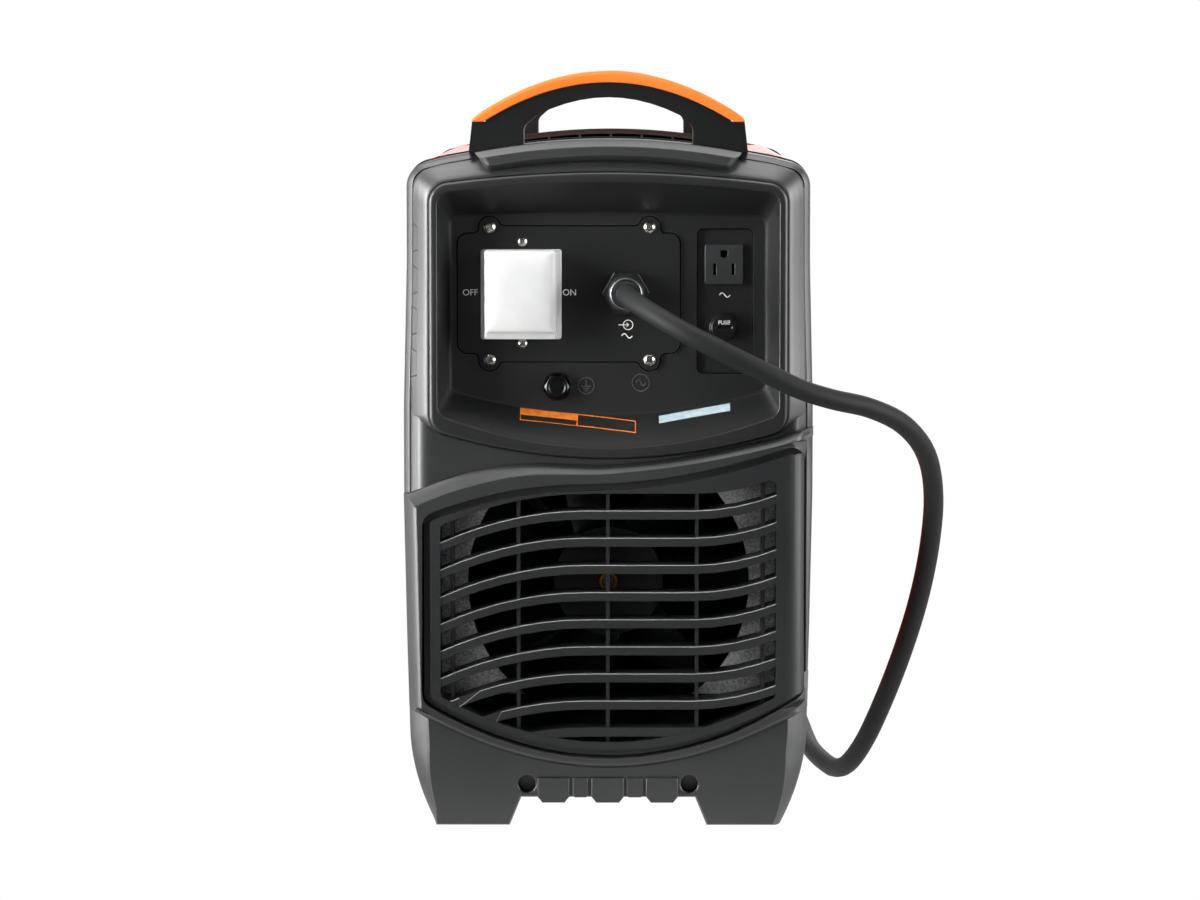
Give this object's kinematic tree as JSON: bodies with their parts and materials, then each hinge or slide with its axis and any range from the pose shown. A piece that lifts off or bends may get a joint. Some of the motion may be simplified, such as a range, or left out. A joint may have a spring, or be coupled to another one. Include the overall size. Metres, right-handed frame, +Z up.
{
  "type": "plasma cutter unit",
  "caption": "Inverter power source with two moulded end frames, arched carry handles, painted cover, louvred fan grille and a recessed connection panel with supply cord.",
  "frame": {"origin": "centre of the base at floor level, cord left out", "axes": "+Z up, +Y from the rear connection panel to the front control panel, +X to the right seen from the rear"},
  "size_m": [0.3739, 0.8641, 0.52],
  "materials": {
    "end_moulding": "fine-grained dark grey moulded plastic",
    "recess_moulding": "black moulded plastic with a leather-like grain",
    "breaker_plate": "satin black plate",
    "handle_frame": "black moulded plastic",
    "soft_grip": "soft orange elastomer",
    "cover_paint": "orange-red powder coat",
    "pan_paint": "black powder coat",
    "zinc_sheet": "galvanised, grainy",
    "bright_screws": "nickel plated",
    "black_bolt": "black oxide",
    "gland_ring": "polished",
    "breaker_case": "light grey",
    "toggle": "black",
    "boot": "frosted clear silicone",
    "gland_plastic": "black nylon",
    "seal_rubber": "black",
    "socket_plastic": "black",
    "fuse_glass": "clear tube",
    "window_glass": "smoked, polished",
    "lamp_lens": "translucent green",
    "knob_plastic": "black, ribbed",
    "button_plastic": "grey",
    "socket_brass": "turned",
    "fan_plastic": "black glass-filled nylon",
    "sink_aluminium": "extruded",
    "lacquered_core": "varnished laminations",
    "copper": "copper",
    "circuit_board": "green solder mask",
    "cord_jacket": "black rubber jacket",
    "plug_shell": "red"
  },
  "bodies": {
    "root": {"rear_bezel": "end_moulding", "rear_grille": "end_moulding", "rear_recess": "recess_moulding", "breaker_plate": "breaker_plate", "breaker_plate_screws": "bright_screws", "breaker_body": "breaker_case", "breaker_cover": "boot", "breaker_cover_screws": "bright_screws", "gland_body": "gland_plastic", "gland_dome": "gland_ring", "gland_seal": "seal_rubber", "gland_locknut": "bright_screws", "outlet": "socket_plastic", "fuse_holder": "socket_plastic", "earth_bolt": "black_bolt", "earth_nut": "black_bolt", "rear_handle": "handle_frame", "rear_grip": "soft_grip", "handle_bolts": "bright_screws", "front_bezel": "end_moulding", "front_fascia": "recess_moulding", "front_socket_panel": "end_moulding", "front_handle": "handle_frame", "front_grip": "soft_grip", "display_window": "window_glass", "indicator_lamps": "lamp_lens", "knob_pot": "bright_screws", "torch_socket": "socket_brass", "work_socket": "socket_brass", "air_inlet": "socket_brass", "cover": "cover_paint", "cover_screws": "bright_screws", "base_pan": "pan_paint", "bezel_screws": "bright_screws", "fan_plate": "zinc_sheet", "fan_frame": "fan_plastic", "front_bulkhead": "zinc_sheet", "shelf": "zinc_sheet", "heatsinks": "sink_aluminium", "transformer": "lacquered_core", "choke": "copper", "power_board": "circuit_board", "capacitors": "sink_aluminium", "control_board": "circuit_board", "air_valve": "socket_brass", "air_hose": "cord_jacket", "output_bars": "copper", "cord_run": "cord_jacket", "cord_coil": "cord_jacket", "cord_plug": "plug_shell", "plug_pins": "socket_brass"},
    "toggles": {"breaker_toggles": "toggle"},
    "fuse_carrier": {"fuse_link": "fuse_glass"},
    "fuse_head": {"fuse_cap": "socket_plastic"},
    "fan_wheel": {"fan_rotor": "fan_plastic"},
    "dial": {"current_knob": "knob_plastic"},
    "mode_key": {"mode_button": "button_plastic"},
    "gas_key": {"gas_button": "button_plastic"}
  },
  "joints": [
    {"name": "breaker_throw", "type": "hinge", "parent": "root", "child": "toggles", "pos_m": [-0.0604, -0.2485, 0.3675], "axis": [0, 0, 1], "range_deg": [0, 76]},
    {"name": "fuse_pull", "type": "slide", "parent": "root", "child": "fuse_carrier", "axis": [0, -1, 0], "range_m": [0, 0.036]},
    {"name": "fuse_turn", "type": "hinge", "parent": "fuse_carrier", "child": "fuse_head", "pos_m": [0.0798, -0.244, 0.3435], "axis": [0, 1, 0], "range_deg": [0, 60]},
    {"name": "fan_spin", "type": "hinge", "parent": "root", "child": "fan_wheel", "pos_m": [0, -0.214, 0.165], "axis": [0, 1, 0], "continuous": true},
    {"name": "current_turn", "type": "hinge", "parent": "root", "child": "dial", "pos_m": [0.052, 0.27, 0.318], "axis": [0, 1, 0], "range_deg": [-150, 150]},
    {"name": "mode_press", "type": "slide", "parent": "root", "child": "mode_key", "axis": [0, -1, 0], "range_m": [0, 0.002], "stiffness_N_per_m": 400},
    {"name": "gas_press", "type": "slide", "parent": "root", "child": "gas_key", "axis": [0, -1, 0], "range_m": [0, 0.002], "stiffness_N_per_m": 400}
  ]
}
